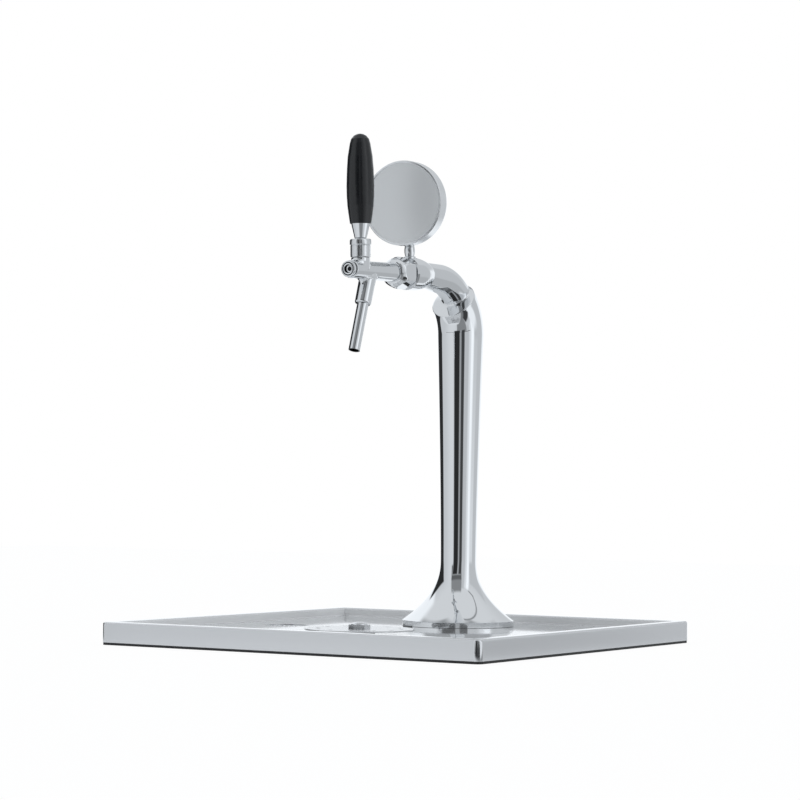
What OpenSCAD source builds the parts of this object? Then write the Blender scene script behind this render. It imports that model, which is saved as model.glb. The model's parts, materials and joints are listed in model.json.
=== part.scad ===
// Draft beer dispenser: a chromed cobra tower with one lever tap, on a square steel drip tray
// with a glass rinser. Millimetres. +Z is up, the tap points to -Y, and the origin is on the
// counter under the middle of the tray.

/* [Tray] */
// Width of the tray along X
tray_w = 450; // [420:5:520]
// Depth of the tray along Y
tray_d = 450; // [440:5:520]
// Height of the folded skirt
skirt_h = 22; // [20:0.5:30]
// Width of the flat lip round the tray
lip_w = 14; // [10:0.5:20]
// Depth of the tray below its lip
tray_depth = 9; // [6:0.5:10]
// Thickness of the tray's sheet
sheet_t = 1.2; // [0.8:0.1:1.5]
// Radius of the folded edges
fold_r = 2.4; // [1.6:0.2:3]
// Radius of the upright corners
corner_r = 4; // [2:0.5:8]
// Thickness of the rubber edge under the skirt
seal_t = 1.5; // [1:0.1:3]
// Width of the rubber edge
seal_w = 8; // [5:0.5:12]
// Radius of a rubber pad under the floor
pad_r = 12; // [8:0.5:16]

/* [Drain] */
// Distance of the drain from the tray's left side
drain_in = 83; // [60:1:115]
// Distance of the drain in front of the middle
drain_front = 9; // [0:1:60]
// Diameter of the round sump
sump_d = 46; // [38:1:56]
// Depth of the sump below the floor
sump_depth = 2.4; // [1.5:0.1:3]
// Diameter of the drain's tail
tail_d = 20; // [14:0.5:24]

/* [Rinser] */
// Distance of the rinser in front of the middle
rinser_front = 84; // [76:1:94]
// Diameter of the slotted disc
disc_d = 113; // [90:1:125]
// Thickness of the disc
disc_t = 1.2; // [1:0.1:1.5]
// Height of the disc's underside above the floor
disc_gap = 3.8; // [3.6:0.1:5]
// How far a glass presses the disc down
press_travel = 2.8; // [1.5:0.1:2.9]
// Number of slots in the disc
slot_count = 12; // [8:1:16]
// Diameter of the circle that the slots lie on
slot_circle_d = 88; // [60:1:92]
// Length of a slot
slot_len = 6; // [4:0.5:9]
// Width of a slot
slot_w = 3.2; // [2:0.1:4]
// Size of the nozzle's hexagon across its corners
hex_d = 22.4; // [18:0.2:26]
// Height of the nozzle's hexagon
hex_h = 4; // [3:0.2:6]
// Height of the nozzle's dome
dome_h = 2.8; // [2:0.1:4]

/* [Foot] */
// Distance of the tower behind the middle
tower_back = 114; // [105:1:125]
// Diameter of the round foot
foot_d = 121.5; // [110:0.5:130]
// Height of the foot's upright edge
foot_edge_h = 5; // [3:0.5:8]
// Height of the whole flared foot
foot_h = 70; // [55:1:85]
// How sharply the flare curves in
flare_power = 2.25; // [1.8:0.05:2.8]
// Thickness of the rubber gasket under the foot
gasket_t = 1; // [0.8:0.1:2]
// Diameter of the circle of the hold-down studs
stud_circle_d = 88; // [76:1:92]
// Diameter of a stud
stud_d = 6; // [5:0.5:8]

/* [Column and neck] */
// Radius of the column at its thinnest
column_low_r = 19.3; // [18.8:0.1:22]
// Radius of the column at the hood
column_top_r = 24.8; // [23:0.1:27]
// Height on the counter at which the column starts to bend
bend_z = 331; // [300:1:360]
// Radius of the bend along the column's middle
bend_r = 50; // [46:0.5:56]
// Radius of the neck in the bend
neck_bend_r = 16.2; // [15.4:0.1:18]
// Radius of the neck at its end
neck_r = 13.5; // [12.6:0.1:14.5]
// Length of the neck in front of the bend's centre
neck_len = 28; // [24:1:40]
// Wall of the column and neck
tower_wall = 2; // [1.5:0.1:2.4]
// Angle by which the end of the neck points down
tap_tilt = 1.8; // [0:0.1:5]

/* [Tap] */
// Length of the cone at the end of the neck
collar_len = 38; // [34:0.5:44]
// Radius of the cone at its wide end
collar_r = 17.4; // [16:0.1:19]
// Length of the coupling nut
nut_len = 25.5; // [23:0.5:30]
// Size of the coupling nut across its flats
nut_flats = 30; // [28:0.5:34]
// Radius of the tap's barrel at its front
barrel_r = 9.4; // [9:0.1:10.5]
// Radius of the barrel at the nut
barrel_rear_r = 10.2; // [9.4:0.1:11]
// Length of the barrel in front of the nut
barrel_len = 80.3; // [76:0.1:90]
// Distance of the lever's boss from the barrel's front
boss_front = 19.5; // [18.5:0.1:22]
// Distance of the spout's root behind the boss
spout_behind = 16.1; // [14:0.1:20]
// Radius of the boss
boss_r = 9.8; // [9.6:0.1:10.5]
// Angle of the spout from the barrel's square
spout_angle = 19.7; // [10:0.1:24]
// Length of the spout's holder from the barrel's middle
holder_len = 37.4; // [32:0.2:42]
// Length of the spout below its holder
spout_len = 50.8; // [40:0.2:70]
// Radius of the spout's tube
spout_r = 6; // [5.6:0.1:6.6]
// Bore of the spout
spout_bore_r = 4.9; // [4:0.1:5.1]
// Radius of the ringed front cap
cap_r = 8.5; // [8:0.1:9.3]
// Thickness of the front cap
cap_t = 4; // [3:0.2:6]

/* [Lever and handle] */
// Radius of the bonnet
bonnet_r = 11.1; // [10.9:0.1:12.5]
// Height of the bonnet
bonnet_h = 19; // [18.6:0.1:20.5]
// Radius of the lever's ball
ball_r = 6.2; // [6:0.1:6.4]
// How far the lever tilts forward to pour
pour_angle = 20; // [10:1:20]
// How far the lever tilts back for foam
foam_angle = 8; // [4:1:10]
// Height of the bright cone under the grip
ferrule_h = 15.2; // [12:0.2:20]
// Radius of the cone at its lower end
ferrule_low_r = 6.2; // [5.5:0.1:6.2]
// Height of the black grip
grip_h = 93; // [80:1:110]
// Radius of the grip where it is widest
grip_r = 14.3; // [12:0.1:16]

/* [Medallion] */
// Diameter of the round medallion
medal_d = 90; // [70:1:100]
// Thickness of its straight rim
medal_rim_t = 13.6; // [10:0.2:18]
// Thickness of its rounded back
medal_back_t = 9; // [6:0.5:12]
// Angle by which it is turned on its stem
medal_turn = 6.3; // [0:0.1:20]
// Distance of the stem from the end of the neck
stem_back = 29; // [26:0.5:31]
// Radius of the stem
stem_r = 5.75; // [5:0.05:6.5]
// Height of the stem above its nut
stem_h = 12; // [10:0.5:20]

/* [Hidden] */

// Finishes
chrome = "#d4d8dc";
steel = "#b9bec3";
brushed = "#c9cdd1";
brass = "#c8a24c";
rubber = "#26282a";
black_plastic = "#1b1c1e";
white_plastic = "#ecebe6";

// Rounding: facets of a full circle on true round forms, and of the swept shells
$fn = 64;
shell_sides = 56;
bore_sides = 20;
line_sides = 10;

// One overrun for every cut, one clearance for fits and one gap between pieces that only touch
over = 1;
fit = 0.05;
gap = 0.3;
chamfer = 0.6;

// Heights of the tray
skirt_z = seal_t;
lip_z = skirt_z + skirt_h;
floor_z = lip_z - tray_depth;
under_z = floor_z - sheet_t;
floor_inset = lip_w - sheet_t;

// Drain pieces
sump_r = sump_d / 2;
tail_r = tail_d / 2;
tail_socket_r = 7.5;
tail_throat_r = 6.4;
drain_flange_t = 1;
drain_low_z = 1;
drain_nut_flats = 27;
drain_nut_h = 4;
strainer_t = 0.8;
strainer_hole_r = 1.8;
strainer_rings = 3;
strainer_step = 5.4;

// Rinser pieces
disc_r = disc_d / 2;
disc_z = floor_z + disc_gap;
disc_rim_h = 0.9;
disc_rim_t = 0.8;
rinser_flange_r = 16;
rinser_flange_t = 0.7;
rinser_barrel_r = 10.2;
rinser_low_z = 2.4;
chamber_r = 7.4;
chamber_floor_t = 1.8;
chamber_roof_t = 1.2;
chamber_low_z = rinser_low_z + chamber_floor_t;
chamber_top_z = under_z - chamber_roof_t;
press_stem_r = 4;
press_neck_r = 3;
press_bore_r = 1.8;
press_collar_r = 6.9;
press_collar_h = 1.3;
press_seal_t = 0.8;
press_port_r = 0.9;
rinser_nut_flats = 26;
rinser_nut_h = 3;
inlet_stub_r = 3;
inlet_stub_bore_r = 2;
inlet_stub_len = 27;
inlet_shoulder_r = 4.7;
inlet_shoulder_in = 3;
inlet_shoulder_out = 0.6;
spring_wire_r = 0.45;
spring_r = 5.7;
spring_turns = 2.5;
spring_sides = 6;
spring_steps = 40;
slot_turn = 21;
nozzle_dome_r = 8.6;
nozzle_hole_r = 0.8;
nozzle_socket_share = 0.8;
nozzle_socket = hex_h * nozzle_socket_share;
nozzle_steps = 8;

// Foot and its fasteners
gasket_z = floor_z;
foot_z = gasket_z + gasket_t;
foot_r = foot_d / 2;
foot_bore_r = 15;
foot_steps = 26;
foot_edge_round = 1;
line_hole_r = 14;
stud_r = stud_d / 2;
stud_depth = 9;
stud_low_z = 2.6;
stud_count = 3;
stud_hole_gap = 0.5;
washer_r = 6.5;
washer_t = 1.2;
hold_nut_flats = 10;
hold_nut_h = 5;

// Column, hood and neck: the bend's centre, and the tower's own heights
column_z = foot_z + foot_h;
column_power = 1.4;
column_rings = 9;
bend_y = tower_back - bend_r;
bend_out_r = bend_r + column_top_r;
hood_angle = 48;
shoulder_angle = 8;
hood_rings = 8;
shoulder_rings = 6;
neck_rings = 7;
neck_end_rings = 4;
neck_y = bend_y - neck_len;
neck_z = bend_z + bend_out_r - neck_r - gap;
neck_plate_t = 6;

// Shank, collar and coupling nut
shank_r = 7.95;
shank_bore_r = 3.3;
shank_len = 52.5;
shank_tail = 12;
barb_len = 14;
barb_r = 3.9;
barb_ridge_r = 4.3;
barb_count = 3;
barb_start_share = 0.3;
barb_ridge_share = 0.5;
collar_chamfer = 1.6;
collar_cone_share = 0.62;
collar_steps = 8;
nut_back = collar_len + gap;
nut_thread_len = 14.7;
nut_lip_t = 6.5;
nut_relief_r = 9.7;
nut_neck_bore_r = 7.6;
nut_crown = 4;
tap_flange_r = 9.3;
tap_flange_t = 2.7;
tap_flange_back = 54.3;
tap_neck_r = 7.2;
shank_seal_r = 7.3;
shank_seal_bore_r = 3.6;

// Tap: distances along the barrel are measured from the end of the neck
barrel_back = nut_back + nut_len + gap;
barrel_end = barrel_back + barrel_len;
boss_at = barrel_end - boss_front;
spout_at = boss_at - spout_behind;
seat_behind = 16.9;
seat_at = spout_at - seat_behind;
supply_bore_r = 6.6;
valve_bore_r = 5.2;
boss_h = 12.6;
boss_bore_r = 8.1;
boss_neck_r = 9.3;
boss_neck_bore_r = 8.5;
boss_neck_h = 7.6;
boss_floor = 7;
slot_half_w = 2.9;
slot_back = 9.6;
slot_front = 6;
slot_top = 8.2;
holder_top_r = 9;
holder_end_r = 8.6;
holder_socket = 14;
holder_taper_share = 0.6;
spout_seal_t = 1;
cap_seal_t = 0.8;
cap_seal_bore_r = 5.6;
cap_spigot_len = 2.5;
cap_socket_r = 2.6;
cap_socket_depth = 2.4;
cap_groove_r = 7;
cap_groove_w = 0.8;
cap_groove_depth = 0.7;

// Lever: the ball's height over the barrel's middle, the tail and the stud in the handle
pivot_h = 25;
tail_len = pivot_h;
lever_tail_r = 1.5;
tip_r = 2.4;
lever_neck_r = 3.2;
lever_stud_r = 4;
lever_stud_len = 26;
seat_ring_r = 8.45;
seat_ring_bore_r = 5.9;
seat_flare = 1.2;
bonnet_z = boss_h + gap;
bonnet_top = bonnet_z + bonnet_h;
bonnet_groove_z = 12.2;
bonnet_groove_w = 0.7;
bonnet_groove_depth = 0.5;
bonnet_well_r = 10.1;
bonnet_well_depth = 2.9;
bonnet_lip_bore_r = 5.7;
ferrule_z = bonnet_top + gap;
ferrule_top_r = 9.75;
grip_z = ferrule_z + ferrule_h;
insert_r = 6.2;
insert_len = 22;
grip_profile_shares = [
  [0, 0.765], [0.11, 0.87], [0.2, 0.945], [0.3, 0.988], [0.42, 1], [0.6, 0.965],
  [0.745, 0.9], [0.89, 0.745], [0.94, 0.65], [0.975, 0.46], [0.993, 0.24], [1, 0]
];

// Plunger: its stroke follows the lever's tail
yoke_r = 4.2;
yoke_wall = 1.9;
yoke_slack = 0.5;
rod_r = 2.4;
rod_tail = 4;
guide_fit = 0.08;
guide_r = valve_bore_r - guide_fit;
guide_len = 7.5;
ring_w = 1.6;
ring_depth = 0.9;
valve_seal_len = 4;
yoke_half = tip_r + yoke_slack;

// Medallion
medal_r = medal_d / 2;
medal_face_ahead = 17.5;
medal_ring_w = 2.5;
medal_ring_t = 3;
medal_plate_t = 1.2;
medal_plate_sunk = 0.5;
medal_back_shares = [[1, 0], [0.985, 0.25], [0.93, 0.6], [0.84, 0.87], [0.72, 1]];
stem_boss_r = 6.9;
stem_boss_h = 15.4;
stem_nut_r = 6.7;
stem_nut_h = 3.2;
stem_nut_dome = 1.6;
stem_stud_r = 3;
stem_stud_len = 5;
stem_waist_share = 0.86;
stem_z = stem_boss_h + stem_nut_h;
stem_sunk = 1.6;
stem_steps = 8;
nut_dome_steps = 6;
medal_z = stem_z + stem_h + medal_r - stem_sunk;

// Beer line inside the tower: one bend between the column and the shank's barb
line_r = 6.2;
line_bore_r = 4.55;
line_low_z = 26;
line_bend_r = 50;
line_bend_steps = 10;
inlet_r = 4.75;
inlet_low_z = 3;
inlet_bore_r = 3.2;
inlet_collar_r = 7;
inlet_collar_h = 4;

// Places and directions

module at_rinser() translate([0, -rinser_front, 0]) children();
module at_drain() translate([drain_in - tray_w / 2, -drain_front, 0]) children();
module at_tower() translate([0, tower_back, 0]) children();
module at_neck() translate([0, neck_y, neck_z]) rotate([tap_tilt, 0, 0]) children();

// Turns a form that stands on Z so that it runs forward along the barrel, from a distance
module along(back) at_neck() translate([0, -back, 0]) rotate([90, 0, 0]) children();
module on_boss(height = 0) at_neck() translate([0, -boss_at, height]) children();
module on_spout(down = 0)
  at_neck() translate([0, -spout_at, 0]) rotate([-spout_angle, 0, 0]) translate([0, 0, -down])
    mirror([0, 0, 1]) children();
module on_stem(height = 0) at_neck() translate([0, -stem_back, height]) children();
// The medallion's own axis: its Z points out of the face
module on_medal()
  on_stem(medal_z) rotate([0, 0, medal_turn]) rotate([90, 0, 0])
    translate([0, 0, medal_face_ahead]) children();

module ring(outer, bore, h)
  difference() {
    cylinder(h = h, r = outer);
    translate([0, 0, -over]) cylinder(h = h + 2 * over, r = bore);
  }

module hexagon(flats, h) cylinder(h = h, r = flats / 2 / cos(30), $fn = 6);

// A hexagon nut whose corners are turned down to a crown at both ends
module nut(flats, bore, h, crown) {
  corner = flats / 2 / cos(30);
  difference() {
    intersection() {
      hexagon(flats, h);
      rotate_extrude()
        polygon([
          [0, 0], [corner - crown, 0], [corner, crown * tan(30)],
          [corner, h - crown * tan(30)], [corner - crown, h], [0, h]
        ]);
    }
    translate([0, 0, -over]) cylinder(h = h + 2 * over, r = bore);
  }
}

// Rectangle about the middle with round corners
module round_rect(w, d, r) {
  square([w - 2 * r, d], center = true);
  square([w, d - 2 * r], center = true);
  for (x = [-1, 1], y = [-1, 1])
    translate([x * (w / 2 - r), y * (d / 2 - r)]) circle(r = r);
}

// Tube or shell from closed rings of points, all of the same count
module loft(rings) {
  n = len(rings[0]);
  last = len(rings) - 1;
  polyhedron(
    points = [for (ring_points = rings) each ring_points],
    faces = [
      [for (k = [0:n - 1]) k],
      for (i = [0:last - 1], k = [0:n - 1]) [i * n + k, (i + 1) * n + k, i * n + (k + 1) % n],
      for (i = [0:last - 1], k = [0:n - 1])
        [i * n + (k + 1) % n, (i + 1) * n + k, (i + 1) * n + (k + 1) % n],
      [for (k = [n - 1:-1:0]) last * n + k]
    ]
  );
}

// Ring of the tower: half its width along X, half its depth along a direction in the YZ plane
function tower_ring(y, z, half_w, half_d, angle, sides) = [
  for (k = [0:sides - 1])
    let (a = 360 * k / sides)
    [half_w * cos(a), y + half_d * sin(a) * cos(angle), z + half_d * sin(a) * sin(angle)]
];

// Ring of the bend between an inner and an outer radius about the bend's centre
function bend_ring(angle, inner, outer, half_w, sides) =
  let (middle = (inner + outer) / 2)
  tower_ring(
    bend_y + middle * cos(angle), bend_z + middle * sin(angle),
    half_w, (outer - inner) / 2, angle, sides
  );

// Half depth of the bend at a share of the shoulder, rounded over like a quarter circle
function shoulder_r(share) =
  neck_bend_r + (column_top_r - neck_bend_r) * sqrt(max(0, 1 - share * share));

function column_r(share) = column_low_r + (column_top_r - column_low_r) * pow(share, column_power);

// The whole tower from the foot to the neck's end, drawn in by a wall
function tower_rings(wall, low_z, end_back, sides) =
  let (
    neck_angle = hood_angle + shoulder_angle,
    hood_end = hood_angle - (wall > 0 ? shoulder_angle / 2 : 0),
    far = 90 + tap_tilt
  )
  [
    for (i = [0:column_rings])
      let (share = i / (column_rings + 1))
      tower_ring(
        tower_back, low_z + (bend_z - low_z) * share,
        column_r(share) - wall, column_r(share) - wall, 0, sides
      ),
    for (i = [0:hood_rings])
      bend_ring(
        hood_end * i / hood_rings, bend_out_r - 2 * column_top_r + wall, bend_out_r - wall,
        column_top_r - wall, sides
      ),
    for (i = [1:shoulder_rings])
      let (share = i / shoulder_rings, r = shoulder_r(share))
      bend_ring(
        hood_end + shoulder_angle * share, bend_out_r - 2 * r + wall, bend_out_r - wall,
        r - wall, sides
      ),
    for (i = [1:neck_rings])
      let (
        share = i / neck_rings,
        r = neck_bend_r + (neck_r - neck_bend_r) * pow(share, 2) / 4
      )
      bend_ring(
        hood_end + shoulder_angle + (far - hood_end - shoulder_angle) * share,
        bend_out_r - 2 * r + wall, bend_out_r - wall, r - wall, sides
      ),
    for (i = [1:neck_end_rings])
      let (
        share = i / neck_end_rings,
        r = neck_bend_r + (neck_r - neck_bend_r) * (1 + 3 * share) / 4,
        start_y = bend_y,
        end_y = neck_y + end_back,
        start_z = bend_z + bend_out_r - (neck_bend_r * 3 + neck_r) / 4,
        y = start_y + (end_y - start_y) * share,
        z = start_z + (neck_z + end_back * tan(tap_tilt) - start_z) * share
      )
      tower_ring(y, z, r - wall, r - wall, far, sides)
  ];

// Tray

// Section of the folded edge: how far in from the tray's side, and how high
module rail_section() {
  module fold(inset, low) {
    r = fold_r - inset;
    w = lip_w - 2 * inset;
    translate([inset, low]) square([w, lip_z - fold_r - low]);
    translate([fold_r, lip_z - fold_r]) square([lip_w - 2 * fold_r, r]);
    for (x = [fold_r, lip_w - fold_r]) translate([x, lip_z - fold_r]) circle(r = r);
  }
  difference() {
    fold(0, skirt_z);
    fold(sheet_t, skirt_z - over);
    translate([lip_w - sheet_t - over, 0]) square([sheet_t + 2 * over, under_z]);
  }
}

// One folded side of the tray, mitred at both ends
module tray_side(long, across) {
  intersection() {
    translate([-long / 2, -across / 2, 0]) rotate([90, 0, 90]) linear_extrude(long) rail_section();
    linear_extrude(lip_z + over)
      polygon([[-long / 2, -across / 2], [long / 2, -across / 2],
               [long / 2 - lip_w, lip_w - across / 2], [lip_w - long / 2, lip_w - across / 2]]);
  }
}

module floor_hole(r) translate([0, 0, under_z - sump_depth - over])
  cylinder(h = sump_depth + sheet_t + 2 * over, r = r);

module at_studs() at_tower()
  for (k = [0:stud_count - 1]) rotate(90 + 360 * k / stud_count)
    translate([stud_circle_d / 2, 0, 0]) children();

module tray_pan() color(steel)
  difference() {
    union() {
      intersection() {
        for (turn = [0, 180]) {
          rotate(turn) tray_side(tray_w, tray_d);
          rotate(turn + 90) tray_side(tray_d, tray_w);
        }
        linear_extrude(lip_z + over) round_rect(tray_w, tray_d, corner_r);
      }
      translate([0, 0, under_z])
        linear_extrude(sheet_t) square([tray_w - 2 * floor_inset, tray_d - 2 * floor_inset], center = true);
      at_drain() translate([0, 0, under_z - sump_depth])
        cylinder(h = sump_depth + sheet_t / 2, r = sump_r + sheet_t);
    }
    at_drain() {
      translate([0, 0, floor_z - sump_depth]) cylinder(h = sump_depth + over, r = sump_r);
      floor_hole(tail_r + fit);
    }
    at_rinser() floor_hole(rinser_barrel_r + fit);
    at_tower() floor_hole(line_hole_r);
    at_studs() floor_hole(stud_r + stud_hole_gap);
  }

module edge_seal() color(rubber)
  linear_extrude(seal_t)
    difference() {
      round_rect(tray_w - chamfer, tray_d - chamfer, corner_r - chamfer / 2);
      square([tray_w - 2 * seal_w, tray_d - 2 * seal_w], center = true);
    }

// Rubber pads between the tray's floor and the counter: one near each corner, two by the tower
module support_pads() color(rubber) {
  inset = lip_w + 2 * pad_r;
  for (x = [-1, 1]) {
    for (y = [-1, 1])
      translate([x * (tray_w / 2 - inset), y * (tray_d / 2 - inset), 0])
        cylinder(h = under_z, r = pad_r);
    at_tower() translate([x * (foot_r + pad_r), 0, 0]) cylinder(h = under_z, r = pad_r);
  }
}

// Drain

module drain_body() color(brushed)
  at_drain()
    difference() {
      union() {
        translate([0, 0, floor_z - sump_depth]) cylinder(h = drain_flange_t, r = sump_r - gap);
        translate([0, 0, drain_low_z])
          cylinder(h = floor_z - sump_depth - drain_low_z + drain_flange_t / 2, r = tail_r);
      }
      translate([0, 0, drain_low_z - over])
        cylinder(h = under_z - sump_depth - gap - drain_low_z + over, r = tail_socket_r);
      translate([0, 0, drain_low_z]) cylinder(h = lip_z, r = tail_throat_r);
    }

module drain_locknut() color(brass)
  at_drain()
    translate([0, 0, under_z - sump_depth - drain_nut_h])
      nut(drain_nut_flats, tail_r + fit, drain_nut_h, chamfer);

module drain_strainer() color(brushed)
  at_drain()
    translate([0, 0, floor_z - sump_depth + drain_flange_t])
      difference() {
        union() {
          cylinder(h = strainer_t, r = sump_r - 2 * gap);
          ring(sump_r - 2 * gap, sump_r - 2 * gap - sheet_t, sump_depth - drain_flange_t);
        }
        for (j = [0:strainer_rings], k = [0:max(0, 6 * j - 1)])
          rotate(60 * k / max(1, j)) translate([j * strainer_step, 0, -over])
            cylinder(h = strainer_t + 2 * over, r = strainer_hole_r);
      }

// Rinser

module rinser_body() color(white_plastic)
  at_rinser()
    difference() {
      union() {
        translate([0, 0, rinser_low_z])
          cylinder(h = floor_z - rinser_low_z + rinser_flange_t, r = rinser_barrel_r);
        translate([0, 0, floor_z]) cylinder(h = rinser_flange_t, r = rinser_flange_r);
        translate([0, 0, rinser_low_z + inlet_stub_r]) rotate([-90, 0, 0])
          cylinder(h = inlet_stub_len, r = inlet_stub_r);
        translate([0, rinser_barrel_r - inlet_shoulder_in, rinser_low_z + inlet_stub_r])
          rotate([-90, 0, 0])
            cylinder(h = inlet_shoulder_in + inlet_shoulder_out, r = inlet_shoulder_r);
      }
      translate([0, 0, chamber_low_z])
        cylinder(h = chamber_top_z - chamber_low_z, r = chamber_r);
      translate([0, 0, chamber_low_z]) cylinder(h = lip_z, r = press_stem_r + fit);
      translate([0, 0, rinser_low_z + inlet_stub_r]) rotate([-90, 0, 0])
        cylinder(h = inlet_stub_len + over, r = inlet_stub_bore_r);
    }

module rinser_locknut() color(brass)
  at_rinser()
    translate([0, 0, under_z - rinser_nut_h])
      nut(rinser_nut_flats, rinser_barrel_r + fit, rinser_nut_h, chamfer);

press_collar_z = chamber_top_z - press_seal_t - press_collar_h;

// Coil spring between the chamber's bottom and the stem's collar
module rinser_spring() color(steel) {
  low = chamber_low_z + spring_wire_r;
  rise = press_collar_z - chamber_low_z - 2 * spring_wire_r;
  rings = [
    for (i = [0:spring_steps])
      let (a = 360 * spring_turns * i / spring_steps, z = low + rise * i / spring_steps)
      [
        for (k = [0:spring_sides - 1])
          let (b = -360 * k / spring_sides, r = spring_r + spring_wire_r * cos(b))
          [r * cos(a), r * sin(a), z + spring_wire_r * sin(b)]
      ]
  ];
  at_rinser() loft(rings);
}

// Hollow stem: a glass presses it down, and its side port opens below the guide
module rinser_stem() color(brushed)
  at_rinser()
    difference() {
      union() {
        translate([0, 0, press_collar_z - press_collar_h / 2])
          cylinder(h = disc_z - press_collar_z + press_collar_h / 2, r = press_stem_r);
        translate([0, 0, press_collar_z]) cylinder(h = press_collar_h, r = press_collar_r);
        translate([0, 0, disc_z - over])
          cylinder(h = disc_t + nozzle_socket + over, r = press_neck_r);
      }
      translate([0, 0, press_collar_z + press_collar_h]) cylinder(h = lip_z, r = press_bore_r);
      translate([-press_collar_r, 0, chamber_top_z + press_port_r + gap / 2])
        rotate([0, 90, 0]) cylinder(h = 2 * press_collar_r, r = press_port_r);
    }

module rinser_seal() color(rubber)
  at_rinser()
    translate([0, 0, press_collar_z + press_collar_h])
      ring(press_collar_r - gap / 2, press_stem_r, press_seal_t - fit);

module rinser_disc() color(brushed)
  at_rinser()
    difference() {
      translate([0, 0, disc_z])
        rotate_extrude($fn = 128)
          difference() {
            union() {
              square([disc_r - disc_t / 2, disc_t]);
              translate([disc_r - disc_t / 2, disc_t / 2]) circle(r = disc_t / 2);
              translate([disc_r - disc_rim_t, disc_t / 2 - disc_rim_h])
                square([disc_rim_t, disc_rim_h]);
            }
            translate([-disc_r, -disc_rim_h - over]) square([disc_r, lip_z]);
          }
      translate([0, 0, disc_z - over]) cylinder(h = disc_t + 2 * over, r = press_neck_r + fit);
      for (k = [0:slot_count - 1])
        rotate(slot_turn + 360 * k / slot_count)
          translate([slot_circle_d / 2, 0, disc_z - over])
            linear_extrude(disc_t + 2 * over) round_slot(slot_w, slot_len);
    }

module round_slot(w, long) {
  square([w, long - w], center = true);
  for (y = [-1, 1]) translate([0, y * (long - w) / 2]) circle(r = w / 2);
}

module rinser_nozzle() color(brushed)
  at_rinser()
    translate([0, 0, disc_z + disc_t])
      difference() {
        union() {
          rotate(30) cylinder(h = hex_h, r = hex_d / 2, $fn = 6);
          translate([0, 0, hex_h])
            rotate_extrude()
              polygon([
                [0, -over], [nozzle_dome_r, -over],
                for (i = [0:nozzle_steps])
                  let (a = 90 * i / nozzle_steps) [nozzle_dome_r * cos(a), dome_h * sin(a)]
              ]);
        }
        translate([0, 0, -over]) cylinder(h = nozzle_socket + over, r = press_neck_r + fit);
        cylinder(h = hex_h + dome_h + over, r = nozzle_hole_r);
      }

// Foot

module base_gasket() color(rubber)
  at_tower()
    difference() {
      translate([0, 0, gasket_z]) cylinder(h = gasket_t, r = foot_r - gap);
      translate([0, 0, gasket_z - over]) cylinder(h = gasket_t + 2 * over, r = line_hole_r);
      for (k = [0:stud_count - 1]) rotate(90 + 360 * k / stud_count)
        translate([stud_circle_d / 2, 0, gasket_z - over])
          cylinder(h = gasket_t + 2 * over, r = stud_r + stud_hole_gap);
    }

function flare_r(share) = column_low_r + (foot_r - column_low_r) * pow(1 - share, flare_power);

module tower_foot() color(chrome)
  difference() {
    at_tower() translate([0, 0, foot_z])
      rotate_extrude($fn = 128)
        polygon([
          [foot_bore_r, 0],
          [foot_r - foot_edge_round, 0],
          [foot_r, foot_edge_round],
          for (i = [0:foot_steps])
            [flare_r(i / foot_steps),
             foot_edge_h + (foot_h - foot_edge_h) * i / foot_steps],
          [foot_bore_r, foot_h]
        ]);
    at_studs() translate([0, 0, foot_z - over]) cylinder(h = stud_depth + over, r = stud_r + fit);
  }

module hold_down_studs() color(steel)
  at_studs() translate([0, 0, stud_low_z])
    cylinder(h = foot_z + stud_depth - gap - stud_low_z, r = stud_r);

module hold_down_washers() color(steel)
  at_studs() translate([0, 0, under_z - washer_t]) ring(washer_r, stud_r + fit, washer_t);

module hold_down_nuts() color(steel)
  at_studs() translate([0, 0, under_z - washer_t - hold_nut_h])
    nut(hold_nut_flats, stud_r + fit, hold_nut_h, chamfer);

// Column and neck

module tower_body() color(chrome)
  difference() {
    loft(tower_rings(0, column_z, 0, shell_sides));
    loft(tower_rings(tower_wall, column_z - over, neck_plate_t, bore_sides));
    along(-2 * neck_plate_t) cylinder(h = 3 * neck_plate_t, r = shank_r + fit);
  }

// Beer line: the route runs up the column, round one bend and onto the shank's barb
line_end_back = -shank_tail;
line_bend_y = tower_back - line_bend_r;
line_bend_z = neck_z + (line_bend_y - neck_y) * tan(tap_tilt) - line_bend_r;
line_far = 90 + tap_tilt;

function line_rings(r, extra) = [
  tower_ring(tower_back, line_low_z - extra, r, r, 0, line_sides),
  for (i = [0:line_bend_steps])
    let (a = line_far * i / line_bend_steps)
    tower_ring(
      line_bend_y + line_bend_r * cos(a), line_bend_z + line_bend_r * sin(a), r, r, a, line_sides
    ),
  tower_ring(
    neck_y - (line_end_back + extra) * cos(tap_tilt),
    neck_z - (line_end_back + extra) * sin(tap_tilt),
    r, r, line_far, line_sides
  )
];

module beer_line() color(white_plastic)
  difference() {
    loft(line_rings(line_r, 0));
    loft(line_rings(line_bore_r, over));
  }

module barb(r, ridge_r, long, bore)
  difference() {
    union() {
      cylinder(h = long, r = r);
      for (i = [0:barb_count - 1])
        translate([0, 0, long * (i + barb_start_share) / barb_count])
          cylinder(h = long * barb_ridge_share / barb_count, r1 = ridge_r, r2 = r);
    }
    translate([0, 0, -over]) cylinder(h = long + 2 * over, r = bore);
  }

module inlet_fitting() color(brass)
  at_tower() {
    translate([0, 0, inlet_low_z])
      ring(inlet_r, inlet_bore_r, line_low_z - inlet_low_z);
    translate([0, 0, line_low_z - inlet_collar_h])
      ring(inlet_collar_r, inlet_bore_r, inlet_collar_h);
    translate([0, 0, line_low_z]) barb(barb_r, barb_ridge_r, barb_len, inlet_bore_r);
  }

// Neck collar, shank and coupling nut

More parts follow.
